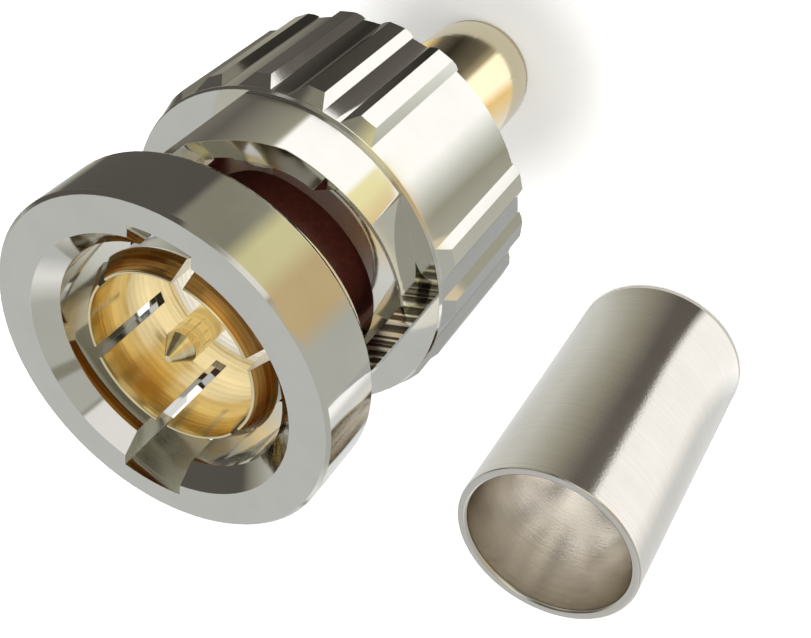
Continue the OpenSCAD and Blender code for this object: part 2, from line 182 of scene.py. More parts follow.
# The cards: name, tones, outline as (radius, height) points in millimetres, and strength. Most lie just over
# the floor, those about the ferrule a little above the plug's
CARD_LEVEL = 0.2
FERRULE_CARD_LEVEL = 0.3
CARD_SEGMENTS = 96
# A collar stands round the ferrule, higher than it. The plug sees only the plain screen outside that collar
COLLAR_TOP = FERRULE_LENGTH / MM + 1
# The foot of the gap between the contact and the nut, 5 mm behind the mouth
GAP_FOOT = (MOUTH - 5.0 * MM) / MM
PLUG_CARDS = (
    ("card_far", ROOM_TONES, ((31, CARD_LEVEL), (300, CARD_LEVEL)), 1.0),
    ("card_waist", WAIST_TONES, ((23.5, CARD_LEVEL), (31, CARD_LEVEL)), 1.4),
    ("card_grip", GRIP_TONES, ((8, CARD_LEVEL), (23.5, CARD_LEVEL)), 1.4),
    ("card_barrel", BARREL_TONES, ((4.3, CARD_LEVEL), (8, CARD_LEVEL)), 1.4),
    ("card_barrel_end", PLAIN_TONES, ((2.9, CARD_LEVEL), (4.3, CARD_LEVEL)), 1.0),
    # This card glows inside the nut and paints reflections in the gap
    ("card_gap", GAP_TONES, ((4.08, GAP_FOOT), (4.86, GAP_FOOT)), 1.3),
)
FERRULE_CARDS = (
    (
        "card_ferrule", FERRULE_TONES,
        ((3.9, FERRULE_CARD_LEVEL), (9, FERRULE_CARD_LEVEL), (9, COLLAR_TOP)), 1.3,
    ),
    ("card_screen", PLAIN_TONES, ((9.1, FERRULE_CARD_LEVEL), (9.1, COLLAR_TOP)), 0.75),
    ("card_ferrule_bore", BORE_TONES, ((0, FERRULE_CARD_LEVEL), (3.9, FERRULE_CARD_LEVEL)), 1.9),
)

# The softboxes: name, place and side in metres, and power in watts. All look at the middle of the object
LAMPS = (
    ("key_softbox", (-0.16, -0.2, 0.3), 0.16, 0.3),
    ("fill_softbox", (0.25, -0.1, 0.2), 0.2, 0.1),
    ("top_softbox", (0, 0, 0.4), 0.2, 1.25),
)
LAMP_AIM = (-0.004, 0, 0.018)
# The world turns from the room's tones to the high ones between these rises of a direction, and its light on
# matt surfaces has this share of its full strength
HIGH_START = 0.73
HIGH_FULL = 0.76
MATT_SHARE = 0.3
# Half the floor's side. For the camera its own light grows from near to far, up to plain white
FLOOR_REACH = 0.6
FLOOR_NEAR = 50 * MM
FLOOR_FAR = 120 * MM
FLOOR_NEAR_LIGHT = 0.32


def up(depth_mm):
    """Height of a plane that lies this many millimetres behind the mouth."""
    return MOUTH - depth_mm * MM


def linear(code):
    """Linear RGBA of an sRGB hex colour."""
    channels = [int(code[i : i + 2], 16) / 255 for i in (1, 3, 5)]
    return [c / 12.92 if c <= 0.04045 else ((c + 0.055) / 1.055) ** 2.4 for c in channels] + [1.0]


def add(tree, kind, sockets=None, **settings):
    """Adds a node, sets its properties, and fills its inputs with values or links."""
    made = tree.nodes.new(kind)
    for name, value in settings.items():
        setattr(made, name, value)
    for name, value in (sockets or {}).items():
        if isinstance(value, bpy.types.NodeSocket):
            tree.links.new(value, made.inputs[name])
        else:
            made.inputs[name].default_value = value
    return made


def colour_property(name, description, code):
    """A colour that the user can change, from its sRGB hex value."""
    return bpy.props.FloatVectorProperty(
        name=name, description=description, subtype="COLOR", size=4, min=0, max=1, default=linear(code)
    )


def length_property(name, description, millimetres):
    """A length that the user can change, from its value in millimetres."""
    return bpy.props.FloatProperty(
        name=name, description=description, unit="LENGTH", precision=5, min=0, default=millimetres * MM
    )


class PlugSizes(bpy.types.PropertyGroup):
    """Sizes of the pieces that are built here, which repeat those of the solids."""

    fingers: bpy.props.IntProperty(
        name="Fingers", description="Spring fingers round the outer contact", default=6, min=3, max=12
    )
    first_slot: bpy.props.FloatProperty(
        name="First slot", description="Angle of the first slot about the axis", subtype="ANGLE",
        default=math.radians(56.5),
    )
    slot_width: length_property("Slot width", "Width of the slots between the fingers", 0.5)
    slot_depth: length_property("Slot end", "Depth of the slots' ends behind the mouth", 4.8)
    contact_lip: length_property("Lip diameter", "Diameter over the lip of the fingers", 8.3)
    contact_outside: length_property("Finger diameter", "Diameter of the fingers behind the lip", 8)
    contact_bore: length_property("Contact bore", "Bore between the fingers", 7.1)
    insulator_rings: bpy.props.IntProperty(
        name="Turned rings", description="Fine ridges on the face of the front insulator",
        default=9, min=1, max=20,
    )


class PlugColours(bpy.types.PropertyGroup):
    """Colours of the finishes."""

    nickel: colour_property("Bright nickel", "Nickel plate on the coupling nut", "#dcdad3")
    satin: colour_property("Satin nickel", "Nickel plate on the ferrule", "#dcd7cf")
    gold: colour_property("Gold", "Gold plate on the contacts", "#ffeec0")
    # The lips' gold is a darker amber copy of the gold: painted shade for the dark reflections on their
    # slopes
    shaded_lip_gold: colour_property("Shaded gold", "Gold on the lips of the outer contact", "#dba55c")
    pale_gold: colour_property("Pale gold", "Thin gold over nickel on the body", "#eadcb8")
    insulator: colour_property("Insulator", "White fluoropolymer", "#f7f4ea")
    rubber: colour_property("Seal", "Dark red silicone rubber", "#5f2e24")
    steel: colour_property("Spring steel", "Spring and retaining ring", "#b9b8b4")
    bronze: colour_property("Bronze", "Thrust washer", "#c9a26a")
    floor: colour_property("Floor", "Studio floor", "#f4f4f2")


def fresh_material(name):
    """An empty node tree and its Principled shader."""
    material = bpy.data.materials.new(name)
    material.use_nodes = True
    tree = material.node_tree
    tree.nodes.clear()
    shader = add(tree, "ShaderNodeBsdfPrincipled")
    add(tree, "ShaderNodeOutputMaterial", {"Surface": shader.outputs["BSDF"]})
    return material, tree, shader


def centred_position(tree, centre):
    """Position measured from an upright axis through a point of the floor."""
    coordinates = add(tree, "ShaderNodeTexCoord")
    return add(
        tree, "ShaderNodeMapping",
        {"Vector": coordinates.outputs["Object"], "Location": (-centre[0], -centre[1], 0)},
    )


def turned_position(tree, centre):
    """Position about a turned piece's axis, and one vector of its distance from that axis and its height."""
    centred = centred_position(tree, centre)
    parts = add(tree, "ShaderNodeSeparateXYZ", {"Vector": centred.outputs["Vector"]})
    flat = add(tree, "ShaderNodeCombineXYZ", {"X": parts.outputs["X"], "Y": parts.outputs["Y"]})
    radius = add(tree, "ShaderNodeVectorMath", {0: flat.outputs["Vector"]}, operation="LENGTH")
    across = add(tree, "ShaderNodeCombineXYZ", {"X": radius.outputs["Value"], "Y": parts.outputs["Z"]})
    return centred, across


def fill_ramp(ramp, stops):
    """Fills a colour ramp from (position, sRGB hex colour) stops."""
    elements = ramp.color_ramp.elements
    for index, (position, code) in enumerate(stops):
        stop = elements[index] if index < 2 else elements.new(position)
        stop.position = position
        stop.color = linear(code)


def finish_edges(tree, shader, height, distance):
    """Broken edges from the Bevel node, with the surface's fine relief on top."""
    rounded = add(tree, "ShaderNodeBevel", {"Radius": EDGE_ROUND}, samples=6)
    relief = add(
        tree, "ShaderNodeBump",
        {"Height": height, "Strength": 1.0, "Distance": distance, "Normal": rounded.outputs["Normal"]},
    )
    tree.links.new(relief.outputs["Normal"], shader.inputs["Normal"])


def turned_metal(
    name, colour, roughness, spread, pitch_mm, ridge_mm=0.0002, ring_shade=0.0, grain_mm=0.0, centre=(0, 0)
):
    """A plated metal that was turned on a lathe: fine rings one feed apart, which stretch the gloss."""
    material, tree, shader = fresh_material(name)
    centred, across = turned_position(tree, centre)
    # A real feed of about 0.05 mm is too fine to show, so the rings are drawn two to six times as coarse
    rings = add(
        tree, "ShaderNodeTexNoise",
        {"Vector": across.outputs["Vector"], "Scale": 1 / (pitch_mm * MM), "Detail": 1.0, "Roughness": 0.5},
    )
    clouds = add(
        tree, "ShaderNodeTexNoise",
        {"Vector": centred.outputs["Vector"], "Scale": 1 / CLOUD_SIZE, "Detail": 3.0, "Roughness": 0.6},
    )
    # The noise mostly keeps to the middle half of its range, so twice the spread is run over the whole of it
    gloss = add(
        tree, "ShaderNodeMapRange",
        {"Value": clouds.outputs["Fac"], "To Min": roughness - 2 * spread, "To Max": roughness + 2 * spread},
    )
    shade = add(
        tree, "ShaderNodeMapRange", {"Value": clouds.outputs["Fac"], "To Min": 0.92, "To Max": 1.06}
    )
    ringed = add(
        tree, "ShaderNodeMapRange",
        {
            "Value": rings.outputs["Fac"], "From Min": 0.3, "From Max": 0.7,
            "To Min": 1 - ring_shade, "To Max": 1.0,
        },
    )
    both = add(
        tree, "ShaderNodeMath", {0: shade.outputs["Result"], 1: ringed.outputs["Result"]},
        operation="MULTIPLY",
    )
    tint = add(
        tree, "ShaderNodeVectorMath", {0: colour[:3], "Scale": both.outputs["Value"]}, operation="SCALE"
    )
    tree.links.new(tint.outputs["Vector"], shader.inputs["Base Color"])
    tree.links.new(gloss.outputs["Result"], shader.inputs["Roughness"])
    shader.inputs["Metallic"].default_value = 1.0
    relief = rings.outputs["Fac"]
    if grain_mm:
        grain = add(
            tree, "ShaderNodeTexNoise",
            {
                "Vector": centred.outputs["Vector"], "Scale": 1 / (grain_mm * MM),
                "Detail": 1.0, "Roughness": 0.5,
            },
        )
        relief = add(
            tree, "ShaderNodeMath", {0: grain.outputs["Fac"], 1: GRAIN_WEIGHT, 2: relief},
            operation="MULTIPLY_ADD",
        ).outputs["Value"]
    finish_edges(tree, shader, relief, ridge_mm * MM)
    return material


def milled_metal_painted_glints(name):
    """Milled nickel: level cutter marks, coloured mostly dark with a few white stripes, as painted shade and
    glints.
    """
    material, tree, shader = fresh_material(name)
    coordinates = add(tree, "ShaderNodeTexCoord")
    parts = add(tree, "ShaderNodeSeparateXYZ", {"Vector": coordinates.outputs["Object"]})
    level = add(tree, "ShaderNodeCombineXYZ", {"Z": parts.outputs["Z"]})
    marks = add(
        tree, "ShaderNodeTexNoise",
        {"Vector": level.outputs["Vector"], "Scale": 1 / CUTTER_MARK_SIZE, "Detail": 1.0, "Roughness": 0.5},
    )
    painted_glint_stripes = add(tree, "ShaderNodeValToRGB", {"Fac": marks.outputs["Fac"]})
    fill_ramp(painted_glint_stripes, PAINTED_GLINT_TONES)
    tree.links.new(painted_glint_stripes.outputs["Color"], shader.inputs["Base Color"])
    shader.inputs["Metallic"].default_value = 1.0
    shader.inputs["Roughness"].default_value = 0.22
    finish_edges(tree, shader, marks.outputs["Fac"], CUTTER_MARK_DEPTH)
    return material


def fluoropolymer(name, colour):
    """Turned PTFE: waxy white that lets a little light in, with fine tool rings."""
    material, tree, shader = fresh_material(name)
    _, across = turned_position(tree, (0, 0))
    rings = add(
        tree, "ShaderNodeTexNoise",
        {"Vector": across.outputs["Vector"], "Scale": 1 / PTFE_RING_SIZE, "Detail": 2.0, "Roughness": 0.6},
    )
    shader.inputs["Base Color"].default_value = colour
    shader.inputs["Roughness"].default_value = 0.34
    shader.inputs["IOR"].default_value = 1.38
    shader.inputs["Subsurface Weight"].default_value = 0.25
    shader.inputs["Subsurface Radius"].default_value = (1.0, 0.9, 0.8)
    shader.inputs["Subsurface Scale"].default_value = 0.4 * MM
    relief = add(
        tree, "ShaderNodeBump",
        {"Height": rings.outputs["Fac"], "Strength": 0.5, "Distance": PTFE_RING_DEPTH},
    )
    tree.links.new(relief.outputs["Normal"], shader.inputs["Normal"])
    return material


def silicone(name, colour):
    """Moulded silicone rubber: dark red, soft gloss, with dust and flow marks."""
    material, tree, shader = fresh_material(name)
    coordinates = add(tree, "ShaderNodeTexCoord")
    grain = add(
        tree, "ShaderNodeTexNoise",
        {
            "Vector": coordinates.outputs["Object"], "Scale": 1 / SPECKLE_SIZE,
            "Detail": 4.0, "Roughness": 0.65,
        },
    )
    clouds = add(
        tree, "ShaderNodeTexNoise",
        {
            "Vector": coordinates.outputs["Object"], "Scale": 1 / FLOW_MARK_SIZE,
            "Detail": 3.0, "Roughness": 0.6,
        },
    )
    # Dust makes the rubber this many times paler
    dusty = 2.6
    paler = [min(1, dusty * c) for c in colour[:3]] + [1.0]
    speckle = add(
        tree, "ShaderNodeMapRange", {"Value": grain.outputs["Fac"], "From Min": 0.42, "From Max": 0.66}
    )
    both = add(
        tree, "ShaderNodeMath", {0: speckle.outputs["Result"], 1: clouds.outputs["Fac"]}, operation="MULTIPLY"
    )
    shade = add(
        tree, "ShaderNodeMix", {"Factor": both.outputs["Value"], "A": colour, "B": paler}, data_type="RGBA"
    )
    gloss = add(tree, "ShaderNodeMapRange", {"Value": grain.outputs["Fac"], "To Min": 0.2, "To Max": 0.5})
    tree.links.new(shade.outputs["Result"], shader.inputs["Base Color"])
    tree.links.new(gloss.outputs["Result"], shader.inputs["Roughness"])
    shader.inputs["Specular IOR Level"].default_value = 1.0
    relief = add(
        tree, "ShaderNodeBump",
        {"Height": grain.outputs["Fac"], "Strength": 1.0, "Distance": SPECKLE_DEPTH},
    )
    tree.links.new(relief.outputs["Normal"], shader.inputs["Normal"])
    return material


def shown(name, mesh, material):
    """Links a mesh as a piece of the object."""
    piece = bpy.data.objects.new(name, mesh)
    bpy.context.scene.collection.objects.link(piece)
    if material:
        mesh.materials.clear()
        mesh.materials.append(material)
    return piece


def place(piece, body, slot, *nodes):
    """Puts a piece on its body, in place of the solids it stands for; the slot it is given is not used."""
    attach(piece, body)
    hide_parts(*nodes)


def exact_normals(corners, normals):
    """Corner normals from the true cylinder, cone or plane of a face. Other faces keep what they have."""
    radius = np.hypot(corners[:, :, 0], corners[:, :, 1])
    safe = np.maximum(radius, 1e-9)
    outward = np.stack([corners[:, :, 0] / safe, corners[:, :, 1] / safe, np.zeros_like(safe)], axis=2)
    around = np.stack([-outward[:, :, 1], outward[:, :, 0], np.zeros_like(safe)], axis=2)
    part_out = (normals * outward).sum(2)
    part_round = (normals * around).sum(2)
    rise = normals[:, :, 2]
    mean_out = part_out.mean(1)
    mean_rise = rise.mean(1)
    leans = np.abs(mean_out) > LEAST_OUT
    slope = np.where(leans, -mean_rise / np.where(leans, mean_out, 1), 0)
    height = corners[:, :, 2]
    misfit = np.abs((radius - radius[:, :1]) - slope[:, None] * (height - height[:, :1])).max(1)
    turned = (np.abs(part_round).max(1) < MOST_ROUND) & leans & (misfit < MOST_MISFIT)
    length = np.maximum(np.hypot(mean_out, mean_rise), 1e-9)
    wall = np.where(np.abs(mean_rise / length) < PLUMB, 0, mean_rise / length)
    side = np.sign(mean_out) * np.sqrt(1 - wall * wall)
    true = side[:, None, None] * outward
    true[:, :, 2] += wall[:, None]
    result = np.where(turned[:, None, None], true, normals)
    face = np.cross(corners[:, 1] - corners[:, 0], corners[:, 2] - corners[:, 0])
    face /= np.maximum(np.linalg.norm(face, axis=1), 1e-20)[:, None]
    plain = ~turned & ((normals * face[:, None, :]).sum(2).min(1) > FLAT)
    return np.where(plain[:, None, None], face[:, None, :], result)


def machined_copy(node, name, material):
    """A welded copy of a solid, shaded with the true normals of its turned faces."""
    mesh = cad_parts[node].data.copy()
    mesh.name = name
    count = len(mesh.loops)
    indices = np.empty(count, np.int32)
    mesh.loops.foreach_get("vertex_index", indices)
    points = np.empty(len(mesh.vertices) * 3, np.float32)
    mesh.vertices.foreach_get("co", points)
    normals = np.empty(count * 3, np.float32)
    mesh.corner_normals.foreach_get("vector", normals)
    corners = points.reshape(-1, 3)[indices].reshape(-1, 3, 3).astype(float)
    true = exact_normals(corners, normals.reshape(-1, 3, 3).astype(float))
    kept = mesh.attributes.new("true_normal", "FLOAT_VECTOR", "CORNER")
    kept.data.foreach_set("vector", true.astype(np.float32).ravel())
    shell = bmesh.new()
    shell.from_mesh(mesh)
    bmesh.ops.remove_doubles(shell, verts=shell.verts, dist=WELD)
    shell.to_mesh(mesh)
    shell.free()
    # The weld makes the attribute anew, so it is looked up again
    kept = mesh.attributes["true_normal"]
    welded = np.empty(len(mesh.loops) * 3, np.float32)
    kept.data.foreach_get("vector", welded)
    mesh.polygons.foreach_set("use_smooth", [True] * len(mesh.polygons))
    mesh.normals_split_custom_set(welded.reshape(-1, 3).tolist())
    mesh.attributes.remove(mesh.attributes["true_normal"])
    return shown(name, mesh, material)


def arc(centre, radius, start, end, steps):
    """Points of an arc in the outline plane, angles in degrees."""
    return [
        (centre[0] + radius * math.cos(math.radians(a)), centre[1] + radius * math.sin(math.radians(a)))
        for a in np.linspace(start, end, steps)
    ]


def finish_mesh(mesh, sharp):
    """Welds a mesh, turns its faces outwards, and leaves its edges sharp beyond an angle."""
    shell = bmesh.new()
    shell.from_mesh(mesh)
    bmesh.ops.remove_doubles(shell, verts=shell.verts, dist=WELD)
    bmesh.ops.recalc_face_normals(shell, faces=shell.faces)
    shell.to_mesh(mesh)
    shell.free()
    mesh.polygons.foreach_set("use_smooth", [True] * len(mesh.polygons))
    mesh.set_sharp_from_angle(angle=math.radians(sharp))
    return mesh


def turned_mesh(name, outline, segments, centre=(0, 0)):
    """Closed ring turned from a loop of (radius, height) points."""
    count = len(outline)
    angles = np.linspace(0, 2 * math.pi, segments, endpoint=False)
    points = [
        (centre[0] + r * math.cos(a), centre[1] + r * math.sin(a), z) for a in angles for r, z in outline
    ]
    faces = []
    for i in range(segments):
        here = i * count
        beside = (i + 1) % segments * count
        for k in range(count):
            after = (k + 1) % count
            faces.append((here + k, beside + k, beside + after, here + after))
    mesh = bpy.data.meshes.new(name)
    mesh.from_pydata(points, [], faces)
    return finish_mesh(mesh, SHARP)


def finger_sector(sizes):
    """One spring finger of the outer contact, above its share of the solid root."""
    lip, outside, bore = (d / 2 for d in (sizes.contact_lip, sizes.contact_outside, sizes.contact_bore))
    top, slot_end = up(FINGER_TOP), up(sizes.slot_depth / MM)
    bevel = 0.06 * MM
    rim = 0.06 * MM
    slope = 0.8 * MM
    soft = 0.02 * MM
    share = math.pi / sizes.fingers
    crown = bore + bevel + rim
    finger = [
        (outside, slot_end), (outside, up(LIP_FOOT)), (lip - soft, up(LIP_HEEL)), (lip, up(LIP_CREST)),
        (lip - soft, top - slope), (crown + soft, top - 2 * soft), (crown, top - soft), (crown - soft, top),
        (bore + bevel, top), (bore + bevel / 3, top - bevel / 3), (bore, top - bevel), (bore, slot_end),
    ]
    root = [
        (bore, slot_end), (bore, up(CONTACT_STEP)), (STEM_BORE_RADIUS, up(CONTACT_STEP)),
        (STEM_BORE_RADIUS, up(CONTACT_BACK)), (STEM_RADIUS, up(CONTACT_BACK)), (STEM_RADIUS, up(SEAL_BACK)),
        (NECK_RADIUS, up(SEAL_BACK)), (NECK_RADIUS, up(SEAL_FRONT)), (outside, up(SEAL_FRONT)),
        (outside, slot_end),
    ]
    steps = 24
    points, faces = [], []

    def fan(outline, edges):
        """Sweeps an outline over the finger, and with edges over the half slots beside it too."""
        first = len(points)
        for r, z in outline:
            half = share - math.asin(min(1, sizes.slot_width / 2 / r))
            angles = list(np.linspace(-half, half, steps))
            if edges:
                angles = [-share, *angles, share]
            points.extend((r * math.cos(a), r * math.sin(a), z) for a in angles)
        wide = steps + 2 * edges
        for i in range(len(outline) - 1):
            for j in range(wide - 1):
                low = first + i * wide + j
                faces.append((low, low + 1, low + wide + 1, low + wide))
        return first, wide

    first, wide = fan(finger, False)
    faces.append([first + i * wide for i in range(len(finger))])
    faces.append([first + i * wide + wide - 1 for i in range(len(finger))])
    first, wide = fan(root, True)
    last = first + (len(root) - 1) * wide
    faces.append((first, first + 1, last + 1, last))
    faces.append((first + wide - 2, first + wide - 1, last + wide - 1, last + wide - 2))
    mesh = bpy.data.meshes.new("finger_sector")
    mesh.from_pydata(points, [], faces)
    return mesh


def fresh_tree(name, inputs):
    """An empty geometry node tree with its named inputs and one geometry output, and its input node."""
    tree = bpy.data.node_groups.new(name, "GeometryNodeTree")
    for label, kind in inputs.items():
        tree.interface.new_socket(label, in_out="INPUT", socket_type=kind)
    tree.interface.new_socket("Geometry", in_out="OUTPUT", socket_type="NodeSocketGeometry")
    return tree, add(tree, "NodeGroupInput")


def end_tree(tree, geometry, material):
    """Gives the geometry its finish and puts it out."""
    dressed = add(tree, "GeometryNodeSetMaterial", {"Geometry": geometry, "Material": material})
    add(tree, "NodeGroupOutput", {"Geometry": dressed.outputs["Geometry"]})
    return tree


def repeat_tree(name, material):
    """Geometry nodes that repeat a sector round the axis, weld the copies and give them their finish."""
    tree, start = fresh_tree(
        name,
        {
            "Geometry": "NodeSocketGeometry", "Count": "NodeSocketInt",
            "First angle": "NodeSocketFloat", "Weld distance": "NodeSocketFloat",
        },
    )
    points = add(tree, "GeometryNodePoints", {"Count": start.outputs["Count"]})
    index = add(tree, "GeometryNodeInputIndex")
    step = add(tree, "ShaderNodeMath", {0: 2 * math.pi, 1: start.outputs["Count"]}, operation="DIVIDE")
    turn = add(
        tree, "ShaderNodeMath",
        {0: index.outputs["Index"], 1: step.outputs["Value"], 2: start.outputs["First angle"]},
        operation="MULTIPLY_ADD",
    )
    rotation = add(tree, "ShaderNodeCombineXYZ", {"Z": turn.outputs["Value"]})
    copies = add(
        tree, "GeometryNodeInstanceOnPoints",
        {
            "Points": points.outputs[0], "Instance": start.outputs["Geometry"],
            "Rotation": rotation.outputs["Vector"],
        },
    )
    real = add(tree, "GeometryNodeRealizeInstances", {"Geometry": copies.outputs["Instances"]})
    welded = add(
        tree, "GeometryNodeMergeByDistance",
        {"Geometry": real.outputs["Geometry"], "Distance": start.outputs["Weld distance"]},
    )
    return end_tree(tree, welded.outputs["Geometry"], material)


def ridge_tree(name, material):
    """Geometry nodes that lay thin rings inside each other on a flat turned face."""
    lengths = dict.fromkeys(("Inner radius", "Outer radius", "Height", "Thickness"), "NodeSocketFloat")
    tree, start = fresh_tree(name, {**lengths, "Count": "NodeSocketInt"})
    inner = add(tree, "ShaderNodeCombineXYZ", {"X": start.outputs["Inner radius"]})
    outer = add(tree, "ShaderNodeCombineXYZ", {"X": start.outputs["Outer radius"]})
    line = add(
        tree, "GeometryNodeMeshLine",
        {
            "Count": start.outputs["Count"], "Start Location": inner.outputs["Vector"],
            "Offset": outer.outputs["Vector"],
        },
        mode="END_POINTS",
    )
    spot = add(tree, "GeometryNodeInputPosition")
    distance = add(tree, "ShaderNodeVectorMath", {0: spot.outputs["Position"]}, operation="LENGTH")
    centre = add(tree, "ShaderNodeCombineXYZ", {"Z": start.outputs["Height"]})
    kept = add(
        tree, "GeometryNodeStoreNamedAttribute",
        {"Geometry": line.outputs["Mesh"], "Name": "ring_radius", "Value": distance.outputs["Value"]},
        data_type="FLOAT",
    )
    gathered = add(
        tree, "GeometryNodeSetPosition",
        {"Geometry": kept.outputs["Geometry"], "Position": centre.outputs["Vector"]},
    )
    ring = add(tree, "GeometryNodeCurvePrimitiveCircle", {"Resolution": 96, "Radius": 1.0}, mode="RADIUS")
    named = add(tree, "GeometryNodeInputNamedAttribute", {"Name": "ring_radius"}, data_type="FLOAT")
    rings = add(
        tree, "GeometryNodeInstanceOnPoints",
        {
            "Points": gathered.outputs["Geometry"], "Instance": ring.outputs["Curve"],
            "Scale": named.outputs["Attribute"],
        },
    )
    real = add(tree, "GeometryNodeRealizeInstances", {"Geometry": rings.outputs["Instances"]})
    section = add(
        tree, "GeometryNodeCurvePrimitiveCircle", {"Resolution": 8, "Radius": start.outputs["Thickness"]},
        mode="RADIUS",
    )
    solid = add(
        tree, "GeometryNodeCurveToMesh",
        {"Curve": real.outputs["Geometry"], "Profile Curve": section.outputs["Curve"]},
    )
    return end_tree(tree, solid.outputs["Mesh"], material)


def grown(name, mesh, tree, values, sharp):
    """Runs a geometry node tree on a mesh and keeps the result as a plain mesh."""
    holder = bpy.data.objects.new(name + "_seed", mesh)
    bpy.context.scene.collection.objects.link(holder)
    modifier = holder.modifiers.new(tree.name, "NODES")
    modifier.node_group = tree
    for item in tree.interface.items_tree:
        if item.item_type == "SOCKET" and item.in_out == "INPUT" and item.name in values:
            modifier[item.identifier] = values[item.name]
    bpy.context.view_layer.update()
    evaluated = holder.evaluated_get(bpy.context.evaluated_depsgraph_get())
    result = bpy.data.meshes.new_from_object(evaluated)
    result.name = name
    bpy.data.objects.remove(holder)
    return finish_mesh(result, sharp)


def finish_milled_walls(mesh, index):
    """Gives the upright end walls of the two windows their own material."""
    direction = math.radians(MILLED_WALL_ANGLE)
    for face in mesh.polygons:
        for side in (0, math.pi):
            across = Vector((-math.sin(direction + side), math.cos(direction + side), 0))
            reach = face.center.dot(across) / MM
            near = abs(reach + MILLED_WALL_REACH) < MILLED_WALL_SLACK
            if near and face.normal.dot(across) > MILLED_WALL_FACING:
                face.material_index = index


class DressNut(bpy.types.Operator):
    """Gives the coupling nut its bright nickel plate and its milled window ends."""

    bl_idname = "plug.dress_nut"
    bl_label = "Coupling nut"

    def execute(self, context):
        colours = context.scene.plug_colours
        # Nickel plate over turned brass: neutral, a little warm, mirror-like with faint lathe rings
        plate = turned_metal(
            "bright_nickel_turned", colours.nickel, roughness=0.075, spread=0.02, pitch_mm=0.11,
            ridge_mm=0.0003,
        )
        piece = machined_copy("coupling_nut", "nut_bright_nickel", plate)
        # The same plate over the milled end walls, where the cutter left level marks, coloured with painted
        # shade and glints
        milled = milled_metal_painted_glints("bright_nickel_milled_painted_glints")
        piece.data.materials.append(milled)
        finish_milled_walls(piece.data, piece.data.materials.find(milled.name))
        place(piece, "nut", "bright_nickel", "coupling_nut")
        return {"FINISHED"}


class DressContacts(bpy.types.Operator):
    """Builds the slotted outer contact and the centre pin in gold plate."""

    bl_idname = "plug.dress_contacts"
    bl_label = "Contacts"

    def execute(self, context):
        sizes, colours = context.scene.plug_sizes, context.scene.plug_colours
        # Hard gold over turned brass: yellow, satin, with clear lathe rings
        gold = turned_metal(
            "hard_gold_turned", colours.gold, roughness=0.16, spread=0.03, pitch_mm=0.25, ridge_mm=0.008,
            ring_shade=0.15,
        )
        # The same gold on the lips, darkened to a deep amber: painted shade for the dark reflections on their
        # slopes
        shaded_lip_gold = turned_metal(
            "hard_gold_painted_shade", colours.shaded_lip_gold, roughness=0.24, spread=0.05, pitch_mm=0.1,
            ridge_mm=0.012, ring_shade=0.5,
        )
        # Nickel under the gold shows on the outside of the fingers: neutral and glossy
        nickel = turned_metal(
            "contact_nickel_turned", colours.nickel, roughness=0.12, spread=0.03, pitch_mm=0.2,
            ridge_mm=0.001,
        )
        tree = repeat_tree("finger_ring", gold)
        share = math.pi / sizes.fingers
        mesh = grown(
            "contact_fingers", finger_sector(sizes), tree,
            {"Count": sizes.fingers, "First angle": sizes.first_slot + share, "Weld distance": 2 * WELD},
            SHARP,
        )
        mesh.materials.append(shaded_lip_gold)
        mesh.materials.append(nickel)
        lip, outside = (mesh.materials.find(finish.name) for finish in (shaded_lip_gold, nickel))
        inside = sizes.contact_bore / 2 + FINISH_START
        # The lips take the gold darkened as painted shade, the outsides of the fingers the nickel
        for face in mesh.polygons:
            if face.center.z > up(NICKEL_END) and face.center.to_2d().length > inside:
                face.material_index = lip if face.center.z > up(SHADED_LIP_END) else outside
        place(shown("contact_fingers", mesh, None), "plug", "gold_plate", "outer_contact")
        pin = machined_copy("centre_pin", "pin_gold", gold)
        place(pin, "plug", "gold_plate", "centre_pin")
        return {"FINISHED"}


class DressInsulators(bpy.types.Operator):
    """Gives the insulators their waxy white, with turned ridges on the front one."""

    bl_idname = "plug.dress_insulators"
    bl_label = "Insulators"

    def execute(self, context):
        sizes, colours = context.scene.plug_sizes, context.scene.plug_colours
        white = fluoropolymer("ptfe_turned", colours.insulator)
        front = machined_copy("front_insulator", "insulator_front", white)
        place(front, "plug", "ptfe", "front_insulator")
        rear = machined_copy("rear_insulator", "insulator_rear", white)
        place(rear, "plug", "ptfe", "rear_insulator")
        ridges = grown(
            "insulator_ridges", bpy.data.meshes.new("ridge_seed"), ridge_tree("turned_ridges", white),
            {
                "Inner radius": 1.15 * MM, "Outer radius": 3.3 * MM, "Height": up(INSULATOR_FACE),
                "Thickness": 0.04 * MM, "Count": sizes.insulator_rings,
            },
            RIDGE_SHARP,
        )
        piece = shown("insulator_ridges", ridges, None)
        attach(piece, "plug")
        return {"FINISHED"}


class DressSeal(bpy.types.Operator):
    """Builds the moulded seal with its rounded lips."""

    bl_idname = "plug.dress_seal"
    bl_label = "Seal"

    def execute(self, context):
        sleeve = 4.0 * MM
        flange = 4.75 * MM
        soft = 0.08 * MM
        edge = 2 * soft
        outline = [(NECK_RADIUS, up(SEAL_BACK)), (NECK_RADIUS, up(SEAL_FRONT))]
        outline += arc((sleeve - soft, up(SEAL_FRONT) - soft), soft, 90, 0, 5)
        outline += arc((sleeve + edge, up(SEAL_FLANGE) + edge), edge, 180, 270, 6)
        outline += arc((flange - edge, up(SEAL_FLANGE) - edge), edge, 90, 0, 6)
        outline += arc((flange - edge, up(SEAL_BACK) + edge), edge, 0, -90, 6)
        # Silicone rubber, moulded: dark red, soft gloss
        rubber = silicone("silicone_dark_red", context.scene.plug_colours.rubber)
        piece = shown("seal_silicone", turned_mesh("seal_silicone", outline, segments=160), rubber)
        place(piece, "plug", "red_silicone", "gasket")
        return {"FINISHED"}


